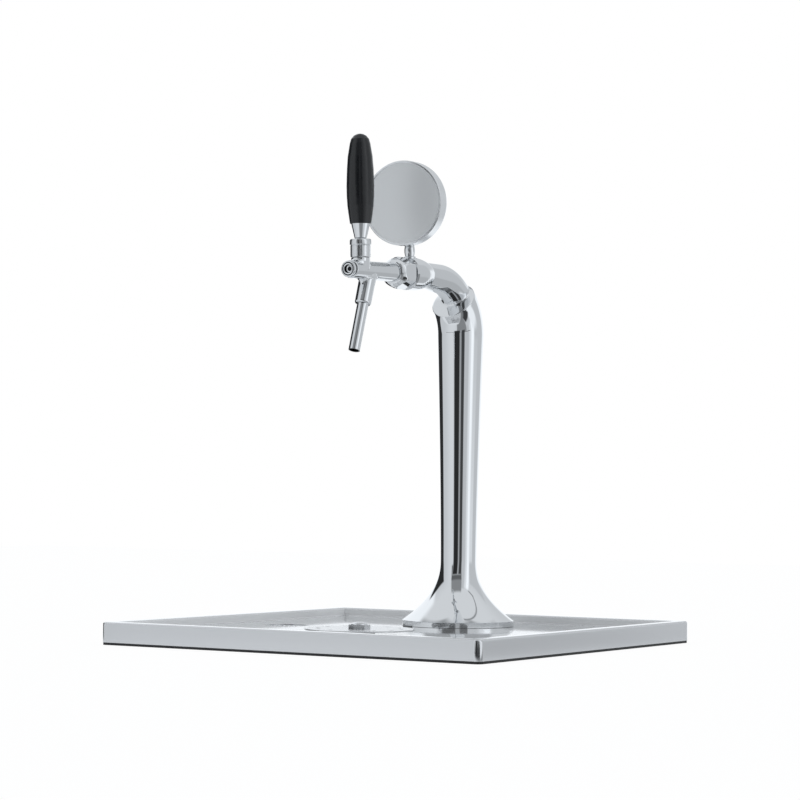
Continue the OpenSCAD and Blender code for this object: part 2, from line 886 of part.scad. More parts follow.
module neck_collar() color(chrome)
  difference() {
    union() {
      along(0)
        rotate_extrude()
          polygon([
            [0, 0], [neck_r + fit, 0],
            for (i = [0:collar_steps])
              let (t = i / collar_steps)
              [neck_r + (collar_r - neck_r) * sin(90 * t), collar_len * collar_cone_share * t],
            [collar_r, collar_len - collar_chamfer],
            [collar_r - collar_chamfer, collar_len], [0, collar_len]
          ]);
      on_stem() cylinder(h = stem_boss_h + over, r = stem_boss_r);
    }
    along(-over) cylinder(h = collar_len + 2 * over, r = shank_r + fit);
    on_stem(stem_z - stem_nut_h - stem_stud_len)
      cylinder(h = stem_nut_h + stem_stud_len + 2 * over, r = stem_stud_r + fit);
    on_stem(stem_boss_h) cylinder(h = collar_r, r = stem_boss_r + over);
  }

module shank() color(brass) {
  along(-shank_tail) ring(shank_r, shank_bore_r, shank_tail + shank_len);
  along(-shank_tail - barb_len)
    barb(barb_r, barb_ridge_r, barb_len, shank_bore_r);
}

module shank_seal() color(rubber)
  along(shank_len + fit)
    ring(shank_seal_r, shank_seal_bore_r, tap_flange_back - shank_len - 2 * fit);

module coupling_nut() color(chrome)
  along(nut_back)
    difference() {
      nut(nut_flats, nut_neck_bore_r, nut_len, nut_crown);
      translate([0, 0, -over]) cylinder(h = nut_thread_len + over, r = shank_r + fit);
      translate([0, 0, nut_thread_len - fit])
        cylinder(h = nut_len - nut_lip_t - nut_thread_len + fit, r = nut_relief_r);
    }

// Tap

module tap_body() color(chrome)
  difference() {
    union() {
      along(tap_flange_back) cylinder(h = tap_flange_t, r = tap_flange_r);
      along(tap_flange_back) cylinder(h = barrel_back - tap_flange_back + over, r = tap_neck_r);
      along(barrel_back)
        rotate_extrude()
          polygon([
            [0, 0], [barrel_rear_r - chamfer, 0], [barrel_rear_r, chamfer],
            [barrel_r, barrel_len - chamfer], [barrel_r - chamfer, barrel_len], [0, barrel_len]
          ]);
      on_boss() cylinder(h = boss_h, r = boss_r);
      on_boss() cylinder(h = boss_h + boss_neck_h, r = boss_neck_r);
      on_spout()
        rotate_extrude()
          polygon([
            [0, 0], [holder_top_r, 0], [holder_top_r, barrel_r],
            [holder_end_r, holder_len * holder_taper_share],
            [holder_end_r, holder_len - chamfer], [holder_end_r - chamfer, holder_len],
            [0, holder_len]
          ]);
    }
    along(tap_flange_back - over)
      cylinder(h = seat_at - tap_flange_back + over, r = supply_bore_r);
    along(seat_at - over) cylinder(h = barrel_end - seat_at + 2 * over, r = valve_bore_r);
    on_boss(boss_floor) cylinder(h = boss_h - boss_floor + over, r = boss_bore_r);
    on_boss(boss_h) cylinder(h = boss_neck_h + over, r = boss_neck_bore_r);
    on_boss() translate([-slot_half_w, -slot_front, 0])
      cube([2 * slot_half_w, slot_front + slot_back, slot_top]);
    on_spout() cylinder(h = holder_len + over, r = spout_bore_r);
    on_spout(holder_len - holder_socket) cylinder(h = holder_socket + over, r = spout_r + fit);
  }

module cap_seal() color(rubber)
  along(barrel_end) ring(cap_r - gap, cap_seal_bore_r, cap_seal_t);

module front_cap() color(chrome)
  difference() {
    union() {
      along(barrel_end + cap_seal_t)
        rotate_extrude()
          polygon([
            [0, 0], [cap_r, 0], [cap_r, cap_t - chamfer], [cap_r - chamfer, cap_t], [0, cap_t]
          ]);
      along(barrel_end - cap_spigot_len)
        cylinder(h = cap_spigot_len + cap_seal_t + over, r = valve_bore_r - fit);
    }
    along(barrel_end + cap_seal_t + cap_t - cap_groove_depth)
      ring(cap_groove_r + cap_groove_w / 2, cap_groove_r - cap_groove_w / 2,
           cap_groove_depth + over);
    along(barrel_end + cap_seal_t + cap_t - cap_groove_depth)
      ring(cap_groove_r - 2 * cap_groove_w, cap_groove_r - 3 * cap_groove_w,
           cap_groove_depth + over);
    along(barrel_end + cap_seal_t + cap_t - cap_socket_depth)
      hexagon(2 * cap_socket_r, cap_socket_depth + over);
  }

// Plunger: rod, yoke for the lever's tip and guide in one piece

yoke_back = boss_at - yoke_half - yoke_wall;
guide_back = boss_at + yoke_half + yoke_wall;
rod_back = seat_at - rod_tail;

module plunger() color(brushed)
  difference() {
    union() {
      along(rod_back) cylinder(h = yoke_back - rod_back + over, r = rod_r);
      along(yoke_back) cylinder(h = guide_back - yoke_back + over, r = yoke_r);
      along(guide_back) cylinder(h = guide_len, r = guide_r);
    }
    on_boss() translate([-yoke_half, -yoke_half, -yoke_half])
      cube([2 * yoke_half, 2 * yoke_half, 2 * yoke_r]);
    along(guide_back + (guide_len - ring_w) / 2)
      ring(guide_r + over, guide_r - ring_depth, ring_w);
  }

module valve_seal() color(rubber)
  along(seat_at + gap) ring(valve_bore_r - fit, rod_r + fit, valve_seal_len);

module guide_ring() color(rubber)
  along(guide_back + (guide_len - ring_w) / 2)
    ring(valve_bore_r - fit, guide_r - ring_depth, ring_w);

// Lever and handle

module lever() color(brushed)
  on_boss(pivot_h) {
    sphere(r = ball_r);
    translate([0, 0, -tail_len]) cylinder(h = tail_len, r = lever_tail_r);
    translate([0, 0, -tail_len]) sphere(r = tip_r);
    cylinder(h = ferrule_z - pivot_h, r = lever_neck_r);
    translate([0, 0, ferrule_z - pivot_h - fit])
      cylinder(h = lever_stud_len + fit, r = lever_stud_r);
  }

module lever_seat() color(white_plastic)
  on_boss(boss_h)
    difference() {
      cylinder(h = pivot_h - boss_h, r = seat_ring_r);
      translate([0, 0, -over]) cylinder(h = pivot_h, r = seat_ring_bore_r);
      translate([0, 0, -over])
        cylinder(h = (pivot_h - boss_h) / 2 + over,
                 r1 = seat_ring_bore_r + seat_flare, r2 = seat_ring_bore_r);
      translate([0, 0, pivot_h - boss_h]) sphere(r = ball_r + fit);
    }

module bonnet() color(chrome)
  on_boss(bonnet_z)
    difference() {
      rotate_extrude()
        polygon([
          [0, 0], [bonnet_r - chamfer - chamfer / 2, 0], [bonnet_r - chamfer, chamfer],
          [bonnet_r - chamfer, bonnet_groove_z],
          [bonnet_r - chamfer - bonnet_groove_depth, bonnet_groove_z],
          [bonnet_r - chamfer - bonnet_groove_depth, bonnet_groove_z + bonnet_groove_w],
          [bonnet_r, bonnet_groove_z + bonnet_groove_w],
          [bonnet_r, bonnet_h - chamfer], [bonnet_r - chamfer, bonnet_h], [0, bonnet_h]
        ]);
      translate([0, 0, -over])
        cylinder(h = pivot_h - bonnet_z + over + gap, r = boss_neck_r + fit);
      translate([0, 0, pivot_h - bonnet_z]) sphere(r = ball_r + fit);
      cylinder(h = bonnet_h, r = bonnet_lip_bore_r);
      translate([0, 0, bonnet_h - bonnet_well_depth])
        cylinder(h = bonnet_well_depth + over, r = bonnet_well_r);
    }

module handle_ferrule() color(chrome)
  on_boss(ferrule_z)
    difference() {
      cylinder(h = ferrule_h, r1 = ferrule_low_r, r2 = ferrule_top_r);
      translate([0, 0, -over]) cylinder(h = ferrule_h + 2 * over, r = lever_stud_r + fit);
    }

module handle_insert() color(brass)
  on_boss(grip_z)
    difference() {
      cylinder(h = insert_len, r = insert_r);
      translate([0, 0, -over])
        cylinder(h = lever_stud_len - ferrule_h + over + gap, r = lever_stud_r + fit);
    }

module handle_grip() color(black_plastic)
  on_boss(grip_z)
    difference() {
      rotate_extrude()
        polygon([
          [0, 0],
          for (p = grip_profile_shares) [grip_r * p[1], grip_h * p[0]]
        ]);
      translate([0, 0, -over]) cylinder(h = insert_len + over + fit, r = insert_r + fit);
    }

// Spout

module spout() color(chrome)
  on_spout(holder_len - holder_socket + spout_seal_t)
    difference() {
      cylinder(h = holder_socket - spout_seal_t + spout_len, r = spout_r);
      translate([0, 0, -over])
        cylinder(h = holder_socket + spout_len + 2 * over, r = spout_bore_r);
    }

module spout_seal() color(rubber)
  on_spout(holder_len - holder_socket) ring(spout_r, spout_bore_r, spout_seal_t);

// Medallion

module stem_nut() color(chrome)
  on_stem(stem_boss_h + fit)
    difference() {
      rotate_extrude()
        polygon([
          [0, 0], [stem_nut_r, 0], [stem_nut_r, stem_nut_h - stem_nut_dome - fit],
          for (i = [1:nut_dome_steps])
            let (a = 90 * i / nut_dome_steps)
            [stem_nut_r - stem_nut_dome * (1 - cos(a)),
             stem_nut_h - fit - stem_nut_dome * (1 - sin(a))],
          [0, stem_nut_h - fit]
        ]);
      translate([0, 0, -over]) cylinder(h = stem_nut_h + 2 * over, r = stem_stud_r + fit);
    }

module medallion_stem() color(chrome) {
  on_stem(stem_z)
    rotate_extrude()
      polygon([
        [0, 0],
        for (i = [0:stem_steps])
          let (t = i / stem_steps)
          [stem_r * (stem_waist_share + (1 - stem_waist_share) * sin(180 * t)), stem_h * t],
        [0, stem_h]
      ]);
  on_stem(stem_z - stem_nut_h - stem_stud_len + gap)
    cylinder(h = stem_nut_h + stem_stud_len, r = stem_stud_r);
}

// Cup with a rounded back; the stem goes into its lower edge
module medallion_case() color(chrome)
  difference() {
    on_medal()
      translate([0, 0, -medal_rim_t - medal_back_t])
        rotate_extrude($fn = 128)
          polygon([
            [0, 0],
            for (i = [len(medal_back_shares) - 1:-1:0])
              [medal_r * medal_back_shares[i][0], medal_back_t * (1 - medal_back_shares[i][1])],
            [medal_r, medal_back_t + medal_rim_t - medal_ring_t],
            [medal_r - 2 * sheet_t, medal_back_t + medal_rim_t - medal_ring_t],
            [medal_r - 2 * sheet_t, medal_back_t + 2 * sheet_t], [0, medal_back_t / 2]
          ]);
    on_stem(stem_z - over) cylinder(h = stem_h + over + fit, r = stem_r + fit);
  }

module medallion_ring() color(chrome)
  on_medal()
    translate([0, 0, -medal_ring_t])
      rotate_extrude($fn = 128)
        polygon([
          [medal_r - medal_ring_w, 0], [medal_r, 0], [medal_r, medal_ring_t - chamfer],
          [medal_r - chamfer, medal_ring_t], [medal_r - medal_ring_w + chamfer, medal_ring_t],
          [medal_r - medal_ring_w, medal_ring_t - medal_plate_sunk]
        ]);

module medallion_plate() color(brushed)
  on_medal()
    translate([0, 0, -medal_plate_sunk - medal_plate_t])
      cylinder(h = medal_plate_t, r = medal_r - medal_ring_w - fit);

tray_pan();
edge_seal();
support_pads();
drain_body();
drain_locknut();
drain_strainer();
rinser_body();
rinser_locknut();
rinser_spring();
rinser_stem();
rinser_seal();
rinser_disc();
rinser_nozzle();
base_gasket();
tower_foot();
tower_body();
hold_down_studs();
hold_down_washers();
hold_down_nuts();
inlet_fitting();
beer_line();
neck_collar();
shank();
shank_seal();
coupling_nut();
tap_body();
cap_seal();
front_cap();
plunger();
valve_seal();
guide_ring();
lever();
lever_seat();
bonnet();
spout();
spout_seal();
handle_ferrule();
handle_insert();
handle_grip();
stem_nut();
medallion_stem();
medallion_case();
medallion_ring();
medallion_plate();
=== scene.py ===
# %% [markdown]
# # A chromed cobra tower on a steel drip tray
#
# The object is almost all mirror: a chromed column and tap, a polished tray, a brushed badge and
# one black handle. A mirror has hardly any colour of its own, so most of this lesson is about two
# things: surfaces that are smooth enough to reflect cleanly, and a studio worth reflecting.
#
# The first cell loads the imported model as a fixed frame. Every piece made later goes where the
# frame says, in metres, with +Z up and the tap pointing to -Y.

# %% Load the frame
import json
from math import cos, pi, radians, sin, tan

import bpy
from mathutils import Matrix, Vector


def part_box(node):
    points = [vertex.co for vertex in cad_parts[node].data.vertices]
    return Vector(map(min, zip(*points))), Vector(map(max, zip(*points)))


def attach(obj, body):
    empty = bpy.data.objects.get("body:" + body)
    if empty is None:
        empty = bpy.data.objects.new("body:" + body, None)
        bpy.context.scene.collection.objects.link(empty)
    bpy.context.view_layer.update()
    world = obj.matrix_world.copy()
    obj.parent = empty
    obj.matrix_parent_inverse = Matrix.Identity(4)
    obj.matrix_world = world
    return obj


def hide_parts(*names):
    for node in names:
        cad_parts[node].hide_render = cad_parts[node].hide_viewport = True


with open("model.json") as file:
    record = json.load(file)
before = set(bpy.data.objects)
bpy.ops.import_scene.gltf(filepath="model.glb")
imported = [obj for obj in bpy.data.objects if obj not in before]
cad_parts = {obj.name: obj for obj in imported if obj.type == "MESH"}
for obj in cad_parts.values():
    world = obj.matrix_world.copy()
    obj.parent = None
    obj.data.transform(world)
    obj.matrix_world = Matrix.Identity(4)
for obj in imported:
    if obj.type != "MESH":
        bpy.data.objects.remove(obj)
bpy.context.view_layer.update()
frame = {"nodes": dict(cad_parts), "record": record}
nodes = frame["nodes"]
MM = 0.001


print("nodes in the frame:", len(nodes))

# %% [markdown]
# ## The camera
#
# The photograph was taken from a little above the counter, 32 degrees to the right of the tap, and
# with a long lens, so the tray's sides hardly converge. The camera looks up by about two degrees
# and is rolled by half a degree, which is why the column seems to lean.

# %% Camera
CAMERA_AZIMUTH = 32.0
CAMERA_UP = 1.929
CAMERA_ROLL = 0.608
CAMERA_PLACE = Vector((1.4381, -2.3115, 0.1652))
CAMERA_LENS = 115.95
SENSOR_WIDTH = 36.0
CLIP_END = 100.0

camera_data = bpy.data.cameras.new("camera")
camera_data.lens = CAMERA_LENS
camera_data.sensor_width = SENSOR_WIDTH
camera_data.clip_end = CLIP_END
camera = bpy.data.objects.new("camera", camera_data)
bpy.context.scene.collection.objects.link(camera)
camera.matrix_world = (
    Matrix.Translation(CAMERA_PLACE)
    @ Matrix.Rotation(radians(CAMERA_AZIMUTH), 4, "Z")
    @ Matrix.Rotation(radians(90.0 + CAMERA_UP), 4, "X")
    @ Matrix.Rotation(radians(CAMERA_ROLL), 4, "Z")
)
bpy.context.scene.camera = camera
bpy.context.scene.view_settings.view_transform = "Standard"

# %% [markdown]
# ## A small node helper
#
# Materials and the studio are both node trees. These helpers add a node, set its sockets and link
# what is another node's output, so that each finish below reads like a recipe.

# %% Node helper
COOL = -0.035


def add(tree, kind, sockets=None, **settings):
    node = tree.nodes.new(kind)
    for name, value in settings.items():
        setattr(node, name, value)
    for name, value in (sockets or {}).items():
        socket = node.inputs[name]
        if isinstance(value, bpy.types.NodeSocket):
            tree.links.new(value, socket)
        else:
            socket.default_value = value
    return node


def calc(tree, operation, *values):
    return add(tree, "ShaderNodeMath", dict(enumerate(values)), operation=operation).outputs[0]


def between(tree, value, low, high, to_low=0.0, to_high=1.0):
    """A soft step: to_low below low, to_high above high, smooth in between."""
    return add(tree, "ShaderNodeMapRange",
               {"Value": value, "From Min": low, "From Max": high, "To Min": to_low, "To Max": to_high},
               interpolation_type="SMOOTHSTEP").outputs[0]


def mix(tree, factor, a, b):
    """Two colours; sockets 0, 6 and 7 are the factor and the colours of Blender's mix node."""
    return add(tree, "ShaderNodeMix", {0: factor, 6: a, 7: b}, data_type="RGBA").outputs[2]


def parts_of(tree, vector):
    return add(tree, "ShaderNodeSeparateXYZ", {0: vector}).outputs


def length(tree, vector):
    return add(tree, "ShaderNodeVectorMath", {0: vector}, operation="LENGTH").outputs["Value"]


def grey(value, warm=COOL):
    """A studio grey; warm above 0 leans to yellow and below 0 to blue."""
    return (value * (1 + warm), value, value * (1 - warm), 1.0)


# %% [markdown]
# ## The studio
#
# Chrome shows nothing but the room. The column in the photograph has a narrow dark line at its
# left edge, a wide pale band, a dark double stripe and a white band, and then a soft grey. Each of
# them is a card or a soft box round the set. A cylinder reflects a direction at twice the angle of
# its own surface, so the place of each card can be read off the column.
#
# The cards are painted into the world by direction. Azimuth 0 is where the photograph's camera
# stood and grows to its right. Camera rays see plain white instead.

# %% Studio
ROOM = grey(0.66)
CEILING = grey(0.76, -0.03)
CEILING_FROM, CEILING_TO = 20, 55

# Each card: azimuth from and to, elevation from and to, softness of its edge, brightness; then lean,
# the degrees that it shifts to the right for each degree upwards, and rise, the degrees that it
# climbs for each degree to the right. A later card covers an earlier one.
CARDS = [
    # Round the room: a soft pale left side, white behind on both sides, grey on the right
    (-74, -14, -60, 45, 50, 0.78, 0, 0),
    (135, 200, -45, 14, 8, 1.05, 0, 0),
    (-182, -138, -20, 46, 12, 1.05, 0.3, 0),
    (71, 134, -8, 36, 6, 0.60, 0, 0),
    # Two thin rails under the ceiling
    (20, 90, 50.4, 52.8, 2, 0.30, 0, 0.07),
    (86, 158, 63.3, 65.7, 2, 0.30, 0, 0.3),
    # The soft box on the right grows brighter in steps; under it the room is darker, then white
    (94, 134, -50, -8, 8, 0.50, 0, 0),
    (20, 71, -16, 52, 6, 0.60, -0.2, 0),
    (43, 71, -16, 52, 12, 0.86, -0.2, 0),
    (55, 70, -16, 50, 9, 1.15, -0.2, 0),
    (62, 96, -34, -2, 10, 1.02, 0, 0),
    # Dark ground before the tray, and dark above the camera
    (-22, 28, -62, -4, 6, 0.27, -0.2, 0),
    (36, 74, -62, -26, 6, 0.05, 0, 0),
    (-44, 18, 30, 60, 8, 0.28, 0, 0),
    (-44, 18, 4, 34, 6, 0.13, 0, 0),
    # The column's double stripe: a grey card with two black ones on it
    (-36, 19, -10, 24, 4, 0.38, -0.2, 0),
    (-33, -6, -10, 22, 4, 0.028, -0.2, 0),
    (3, 19, -10, 22, 4, 0.06, -0.2, 0),
    # The narrow dark line at the column's left edge
    (-163, -112, -40, 28, 5, 0.028, 0.7, 0),
    # A grey card high at the back, which the hood's end shows
    (146, 214, 46, 72, 8, 0.36, 0, 0),
    # A dark strip just under the horizon, which the tray's near corner shows
    (-80, 50, -3.9, -2.95, 0.3, 0.03, 0, 0),
]


def card_window(tree, azimuth, elevation, left, right, low, high, soft, lean, rise):
    """1 inside the card and 0 outside, with a soft edge."""
    middle, half, edge = radians((left + right) / 2), radians((right - left) / 2), radians(soft / 2)
    centre = calc(tree, "MULTIPLY_ADD", elevation, lean, middle)
    offset = calc(tree, "WRAP", calc(tree, "SUBTRACT", azimuth, centre), pi, -pi)
    height = calc(tree, "MULTIPLY_ADD", offset, -rise, elevation)
    window = between(tree, calc(tree, "ABSOLUTE", offset), half + edge, half - edge)
    for limit, sign in ((low, 1), (high, -1)):
        step = between(tree, height, radians(limit) - sign * edge, radians(limit) + sign * edge)
        window = calc(tree, "MULTIPLY", window, step)
    return window


def build_world():
    world = bpy.data.worlds.new("studio")
    bpy.context.scene.world = world
    world.use_nodes = True
    tree = world.node_tree
    tree.nodes.clear()
    direction = add(tree, "ShaderNodeTexCoord").outputs["Generated"]
    turn = radians(CAMERA_AZIMUTH)
    ahead, aside = [
        add(tree, "ShaderNodeVectorMath", {0: direction, 1: axis}, operation="DOT_PRODUCT").outputs["Value"]
        for axis in ((sin(turn), -cos(turn), 0), (cos(turn), sin(turn), 0))]
    azimuth = calc(tree, "ARCTAN2", aside, ahead)
    elevation = calc(tree, "ARCSINE", parts_of(tree, direction)["Z"])

    upwards = between(tree, elevation, radians(CEILING_FROM), radians(CEILING_TO))
    colour = mix(tree, upwards, ROOM, CEILING)
    for left, right, low, high, soft, level, lean, rise in CARDS:
        window = card_window(tree, azimuth, elevation, left, right, low, high, soft, lean, rise)
        colour = mix(tree, window, colour, grey(level))
    room = add(tree, "ShaderNodeBackground", {"Color": colour, "Strength": 1.0})
    plain = add(tree, "ShaderNodeBackground", {"Color": (1, 1, 1, 1), "Strength": 1.0})
    seen = add(tree, "ShaderNodeLightPath").outputs["Is Camera Ray"]
    both = add(tree, "ShaderNodeMixShader", {0: seen, 1: room.outputs[0], 2: plain.outputs[0]})
    add(tree, "ShaderNodeOutputWorld", {"Surface": both.outputs[0]})


build_world()
print("cards in the studio:", len(CARDS))

# %% [markdown]
# ## The floor
#
# The photograph stands on pure white, with only a trace of shadow. A white floor that is lit would
# need a lot of light, which would also burn out the metal. So the camera sees a floor that is mostly
# white by itself, with a share of real shading left for the shadow. Its glow is worked out so that
# the open floor comes to exactly white and leaves no horizon. The metal sees a pale sweep close by,
# which turns dark to the right of the tray, and past that the cards of the studio.

# %% Floor
FLOOR_HALF = 3.0
SHADOW_SHARE = 0.14
OPEN_FLOOR = 0.66
JUST_WHITE = 1.005
SWEEP_PALE, SWEEP_DARK = grey(0.82), grey(0.25)
SWEEP_TURNS = (0.215, 0.30)
SWEEP_ENDS = (0.33, 0.44)

bpy.ops.object.select_all(action="DESELECT")
bpy.ops.mesh.primitive_plane_add(size=2 * FLOOR_HALF, location=(0, 0, 0))
floor = bpy.context.object
floor.name = "floor"


def floor_material():
    material = bpy.data.materials.new("floor_sweep")
    material.use_nodes = True
    tree = material.node_tree
    tree.nodes.clear()
    place = add(tree, "ShaderNodeTexCoord").outputs["Object"]
    tone = mix(tree, between(tree, parts_of(tree, place)["X"], *SWEEP_TURNS), SWEEP_PALE, SWEEP_DARK)
    lit = add(tree, "ShaderNodeBsdfDiffuse", {"Color": grey(0.92, 0.0)})
    glow = (JUST_WHITE - SHADOW_SHARE * OPEN_FLOOR) / (1 - SHADOW_SHARE)
    white = add(tree, "ShaderNodeEmission", {"Color": (1, 1, 1, 1), "Strength": glow})
    sweep = add(tree, "ShaderNodeEmission", {"Color": tone, "Strength": 1.0})
    clear = add(tree, "ShaderNodeBsdfTransparent")
    path = add(tree, "ShaderNodeLightPath")

    def either(factor, a, b):
        return add(tree, "ShaderNodeMixShader", {0: factor, 1: a.outputs[0], 2: b.outputs[0]})

    seen = either(SHADOW_SHARE, white, lit)
    near = either(between(tree, length(tree, place), *SWEEP_ENDS), sweep, clear)
    mirrored = either(path.outputs["Is Glossy Ray"], lit, near)
    both = either(path.outputs["Is Camera Ray"], mirrored, seen)
    add(tree, "ShaderNodeOutputMaterial", {"Surface": both.outputs[0]})
    return material


floor.data.materials.append(floor_material())

# %% [markdown]
# ## Finishes
#
# Every finish has its fine detail in the nodes: chrome is not perfectly flat and carries faint
# wipe marks, rolled sheet has long straight lines, turned steel has rings, and rubber has a grain.
# All of them read Object coordinates, so a pattern stays on its piece when a joint moves.

# %% Finishes
CHROME_TINT = (0.80, 0.815, 0.83, 1)
# Painted shade for the grooves and the sunk middle of the turned cap
GROOVE_SHADE_TINT = (0.02, 0.02, 0.022, 1)
# The second of these is painted shade for the undersides of turned steel
TURNED_TINT, UNDERSIDE_SHADE_TINT = (0.70, 0.71, 0.725, 1), (0.03, 0.03, 0.032, 1)
POLISHED_TINT, BRUSHED_TINT = (0.74, 0.75, 0.765, 1), (0.80, 0.81, 0.825, 1)
INNER_TINT, FLOOR_TINT = (0.95, 0.955, 0.96, 1), (0.86, 0.87, 0.88, 1)
# How much less metallic, and so paler, each kind of surface of the sheet is
BRUSHED_LOSS, INNER_LOSS, FLOOR_LOSS = 0.15, 0.75, 0.6


def start(name, colour, **sockets):
    material = bpy.data.materials.new(name)
    material.use_nodes = True
    tree = material.node_tree
    tree.nodes.clear()
    shader = add(tree, "ShaderNodeBsdfPrincipled", {"Base Color": colour, **sockets})
    add(tree, "ShaderNodeOutputMaterial", {"Surface": shader.outputs[0]})
    place = add(tree, "ShaderNodeTexCoord").outputs["Object"]
    return material, tree, shader, place


def noise(tree, place, scale, detail=3.0, stretch=(1, 1, 1), roughness=0.5):
    spread = add(tree, "ShaderNodeMapping", {"Vector": place, "Scale": stretch}).outputs[0]
    return add(tree, "ShaderNodeTexNoise",
               {"Vector": spread, "Scale": scale, "Detail": detail, "Roughness": roughness}).outputs[0]


def bump(tree, shader, height, strength, distance):
    node = add(tree, "ShaderNodeBump", {"Height": height, "Strength": strength, "Distance": distance})
    tree.links.new(node.outputs[0], shader.inputs["Normal"])


def roughen(tree, shader, pattern, low, high, smooth, rough):
    """Roughness from smooth to rough as the pattern goes from low to high."""
    tree.links.new(between(tree, pattern, low, high, smooth, rough), shader.inputs["Roughness"])


def surface_normal(tree):
    return parts_of(tree, tree.nodes["Texture Coordinate"].outputs["Normal"])


def from_centre(tree, place, centre):
    return add(tree, "ShaderNodeMapping", {"Vector": place, "Location": [-v for v in centre]}).outputs[0]


def chrome():
    material, tree, shader, place = start("chrome", CHROME_TINT, Metallic=1.0)
    roughen(tree, shader, noise(tree, place, 55, 4, (1, 1, 0.3)), 0.35, 0.75, 0.02, 0.055)
    bump(tree, shader, noise(tree, place, 22, 1), 0.03, 0.0004)
    return material


def sheet_steel(inside, floor_top):
    """Polished on the lip and at the ground corners; walls and skirts are only brushed.
    The floor is rolled bright: it mirrors at a low angle and looks pale from above."""
    material, tree, shader, place = start("polished_sheet", POLISHED_TINT, Metallic=1.0)
    along_x = noise(tree, place, 30, 6, (1, 60, 60), 0.6)
    along_y = noise(tree, place, 30, 6, (60, 1, 60), 0.6)
    lines = mix(tree, 0.5, along_x, along_y)
    facing, spot = surface_normal(tree), parts_of(tree, place)

    upright = between(tree, calc(tree, "ABSOLUTE", facing["Z"]), 0.85, 0.5)
    corner = calc(tree, "ABSOLUTE", calc(tree, "MULTIPLY", facing["X"], facing["Y"]))
    brushed = calc(tree, "MULTIPLY", upright, between(tree, corner, 0.10, 0.04))
    side = calc(tree, "MAXIMUM", *[calc(tree, "ABSOLUTE", spot[axis]) for axis in "XY"])
    inner = calc(tree, "MULTIPLY", brushed, between(tree, side, inside + 4 * MM, inside + 3 * MM))
    floor = calc(tree, "MULTIPLY", between(tree, facing["Z"], 0.5, 0.85),
                 between(tree, spot["Z"], floor_top + 4 * MM, floor_top + 2.5 * MM))

    tint, metal = POLISHED_TINT, 1.0
    for mask, colour, loss in ((brushed, BRUSHED_TINT, BRUSHED_LOSS), (inner, INNER_TINT, INNER_LOSS),
                               (floor, FLOOR_TINT, FLOOR_LOSS)):
        tint = mix(tree, mask, tint, colour)
        metal = calc(tree, "SUBTRACT", metal, calc(tree, "MULTIPLY", mask, loss))
    tree.links.new(tint, shader.inputs["Base Color"])
    tree.links.new(metal, shader.inputs["Metallic"])
    gloss = between(tree, lines, 0.3, 0.7, 0.03, 0.08)
    satin_rough = between(tree, lines, 0.3, 0.7, 0.32, 0.44)
    rough = add(tree, "ShaderNodeMix", {0: brushed, 2: gloss, 3: satin_rough}).outputs[0]
    tree.links.new(rough, shader.inputs["Roughness"])
    return material


def turned_steel(name, centre):
    """Rings round an upright axis, as a lathe leaves them; painted shade, near black, on the faces that point
    down.
    """
    material, tree, shader, place = start(name, TURNED_TINT, Metallic=1.0)
    moved = from_centre(tree, place, centre)
    level = add(tree, "ShaderNodeVectorMath", {0: moved, 1: (1, 1, 0)}, operation="MULTIPLY").outputs[0]
    rings = add(tree, "ShaderNodeTexNoise", {"W": length(tree, level), "Scale": 2600, "Detail": 3},
                noise_dimensions="1D").outputs[0]
    roughen(tree, shader, rings, 0.3, 0.7, 0.16, 0.30)
    bump(tree, shader, rings, 0.12, 0.00005)
    # Painted shade: faces that point down are darkened to near black
    below = between(tree, surface_normal(tree)["Z"], -0.3, -0.7)
    tree.links.new(mix(tree, below, TURNED_TINT, UNDERSIDE_SHADE_TINT), shader.inputs["Base Color"])
    return material


def groove_shaded_chrome(name, centre, axis, bands):
    """Chrome with painted shade in its grooves: bands of distance from an axis, in mm, turn near black."""
    material, tree, shader, place = start(name, CHROME_TINT, Metallic=1.0)
    moved = from_centre(tree, place, centre)
    across = add(tree, "ShaderNodeVectorMath", {0: moved, 1: axis}, operation="CROSS_PRODUCT").outputs[0]
    radius = length(tree, across)
    # Painted shade: each band turns the chrome near black
    dark, soft = 0.0, 0.15
    for inner, outer in bands:
        band = calc(tree, "MULTIPLY",
                    between(tree, radius, (inner - soft) * MM, (inner + soft) * MM),
                    between(tree, radius, (outer + soft) * MM, (outer - soft) * MM))
        dark = calc(tree, "MAXIMUM", dark, band)
    tree.links.new(mix(tree, dark, CHROME_TINT, GROOVE_SHADE_TINT), shader.inputs["Base Color"])
    roughen(tree, shader, noise(tree, place, 55, 4), 0.35, 0.75, 0.04, 0.09)
    return material


def satin(name, colour, metal, rough):
    """A fine satin metal face with faint strokes."""
    material, tree, shader, place = start(name, colour, Metallic=metal)
    strokes = noise(tree, place, 40, 5, (60, 60, 1), 0.6)
    roughen(tree, shader, strokes, 0.3, 0.7, rough - 0.03, rough + 0.03)
    bump(tree, shader, strokes, 0.03, 0.00005)
    return material


def brass():
    material, tree, shader, place = start("brass", (0.78, 0.60, 0.30, 1), Metallic=1.0)
    roughen(tree, shader, noise(tree, place, 300, 4), 0.3, 0.7, 0.18, 0.34)
    bump(tree, shader, noise(tree, place, 900, 2, (1, 1, 6)), 0.15, 0.0001)
    return material


def moulded(name, colour, rough, grain, strength):
    """Plastic or rubber: a fine grain with a little change of colour and gloss."""
    material, tree, shader, place = start(name, colour)
    cloud = noise(tree, place, 60, 4)
    tint = mix(tree, between(tree, cloud, 0.3, 0.7), colour, [c * 1.25 for c in colour[:3]] + [1])
    tree.links.new(tint, shader.inputs["Base Color"])
    roughen(tree, shader, cloud, 0.3, 0.7, rough - 0.03, rough + 0.05)
    bump(tree, shader, noise(tree, place, grain, 2), strength, 0.0001)
    return material


def middle(node):
    low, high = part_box(node)
    return (low + high) / 2


